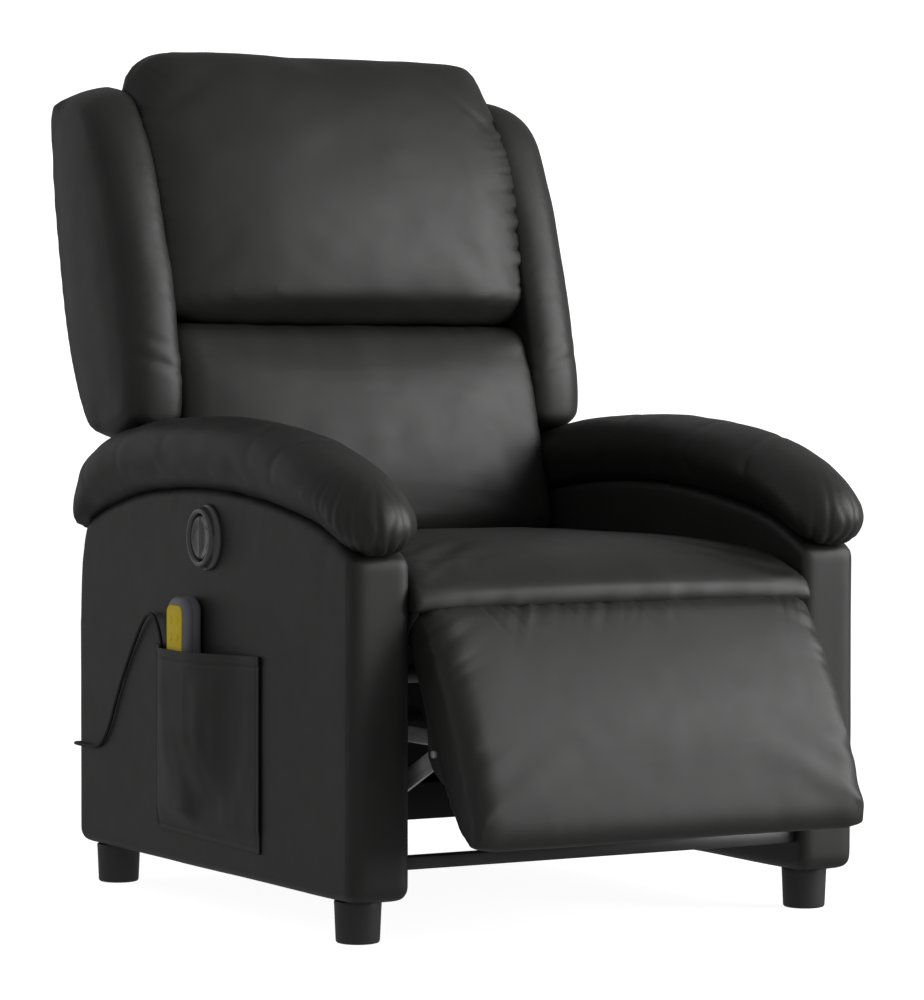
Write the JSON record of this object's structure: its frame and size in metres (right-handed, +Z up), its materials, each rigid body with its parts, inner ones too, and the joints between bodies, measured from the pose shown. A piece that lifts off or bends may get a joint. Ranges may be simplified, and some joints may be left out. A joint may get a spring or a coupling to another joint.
{
  "type": "power recliner massage chair",
  "caption": "Upholstered power recliner armchair with vibration massage: hinged back, opening footrest, padded arms, side pocket and wired handset.",
  "frame": {"origin": "middle of the overall width and depth, on the floor", "axes": "+Z up, the sitter faces -Y, +X to the sitter's left"},
  "size_m": [0.703, 0.9135, 0.992],
  "materials": {
    "upholstery": "satin near-black coated faux leather with fine grain",
    "side_upholstery": "satin near-black coated faux leather with fine grain",
    "feet": "matt moulded plastic",
    "black_steel": "black powder coat",
    "bright_steel": "zinc-plated steel",
    "timber": "raw plywood",
    "dark_timber": "timber under black lining cloth",
    "lining": "black nonwoven lining",
    "control_plastic": "gloss black moulding",
    "motor_plastic": "matt black moulding",
    "handset_plastic": "dark grey moulding",
    "keypad": "yellow silicone keypad",
    "cord_jacket": "black jacket"
  },
  "bodies": {
    "base": {"arm_box_L": "side_upholstery", "arm_box_R": "side_upholstery", "arm_pad_L": "upholstery", "arm_pad_R": "upholstery", "foot_front_L": "feet", "foot_front_R": "feet", "foot_rear_L": "feet", "foot_rear_R": "feet", "front_crossbar": "black_steel", "rear_bottom_rail": "dark_timber", "rear_valance": "lining", "mechanism_plate_L": "black_steel", "mechanism_plate_R": "black_steel", "seat_rail_L": "dark_timber", "seat_rail_R": "dark_timber", "seat_rail_front": "dark_timber", "seat_rail_rear": "dark_timber", "seat_springs": "bright_steel", "seat_cushion": "upholstery", "footrest_hinge_pin_L": "black_steel", "footrest_hinge_pin_R": "black_steel", "back_hinge_pin_L": "bright_steel", "back_hinge_pin_R": "bright_steel", "actuator_rail": "bright_steel", "actuator_motor": "motor_plastic", "massage_motor_seat": "motor_plastic", "control_bezel": "control_plastic", "side_pocket": "side_upholstery", "handset_cord": "cord_jacket", "cord_gland": "motor_plastic"},
    "back": {"back_post_L": "dark_timber", "back_post_R": "dark_timber", "back_top_rail": "timber", "back_bottom_rail": "timber", "back_webbing": "lining", "back_bracket_L": "black_steel", "back_bracket_R": "black_steel", "lumbar_cushion": "upholstery", "head_pillow": "upholstery", "back_wing_L": "upholstery", "back_wing_R": "upholstery", "back_shell": "side_upholstery", "massage_motor_back": "motor_plastic"},
    "footrest": {"footrest_pad": "upholstery", "footrest_board": "dark_timber", "footrest_bracket_L": "black_steel", "footrest_bracket_R": "black_steel", "link_pin_L": "bright_steel", "link_pin_R": "bright_steel"},
    "link_left": {"footrest_link_L": "bright_steel"},
    "link_right": {"footrest_link_R": "bright_steel"},
    "drive": {"drive_tube": "black_steel", "drive_crank_L": "bright_steel", "drive_crank_R": "bright_steel"},
    "carriage": {"actuator_carriage": "motor_plastic"},
    "button_open": {"recline_button_open": "control_plastic"},
    "button_close": {"recline_button_close": "control_plastic"},
    "handset": {"handset_rear_shell": "handset_plastic", "handset_front_shell": "handset_plastic", "handset_keypad": "keypad"}
  },
  "joints": [
    {"name": "back_recline", "type": "hinge", "parent": "base", "child": "back", "pos_m": [0, 0.288, 0.35], "axis": [-1, 0, 0], "range_deg": [0, 30]},
    {"name": "footrest_open", "type": "hinge", "parent": "base", "child": "footrest", "pos_m": [0, -0.325, 0.36], "axis": [-1, 0, 0], "range_deg": [-25, 58]},
    {"name": "link_left_pivot", "type": "hinge", "parent": "footrest", "child": "link_left", "pos_m": [0.236, -0.357, 0.205], "axis": [1, 0, 0], "range_deg": [-25, 58]},
    {"name": "link_right_pivot", "type": "hinge", "parent": "footrest", "child": "link_right", "pos_m": [-0.236, -0.357, 0.205], "axis": [1, 0, 0], "range_deg": [-25, 58]},
    {"name": "drive_turn", "type": "hinge", "parent": "base", "child": "drive", "pos_m": [0, -0.145, 0.273], "axis": [-1, 0, 0], "range_deg": [-25, 58]},
    {"name": "carriage_travel", "type": "slide", "parent": "base", "child": "carriage", "axis": [0, -1, 0], "range_m": [-0.0222, 0.0512]},
    {"name": "button_open_press", "type": "slide", "parent": "base", "child": "button_open", "axis": [1, 0, 0], "range_m": [0, 0.002], "stiffness_N_per_m": 500},
    {"name": "button_close_press", "type": "slide", "parent": "base", "child": "button_close", "axis": [1, 0, 0], "range_m": [0, 0.002], "stiffness_N_per_m": 500},
    {"name": "handset_lift", "type": "slide", "parent": "base", "child": "handset", "axis": [0, 0.42, 0.9075], "range_m": [0, 0.1]}
  ],
  "couplings": [
    {"joint": "link_left_pivot", "follows": "footrest_open", "ratio": 1},
    {"joint": "link_right_pivot", "follows": "footrest_open", "ratio": 1},
    {"joint": "drive_turn", "follows": "footrest_open", "ratio": 1},
    {"joint": "carriage_travel", "follows": "footrest_open", "m_per_rad": 0.0503}
  ]
}
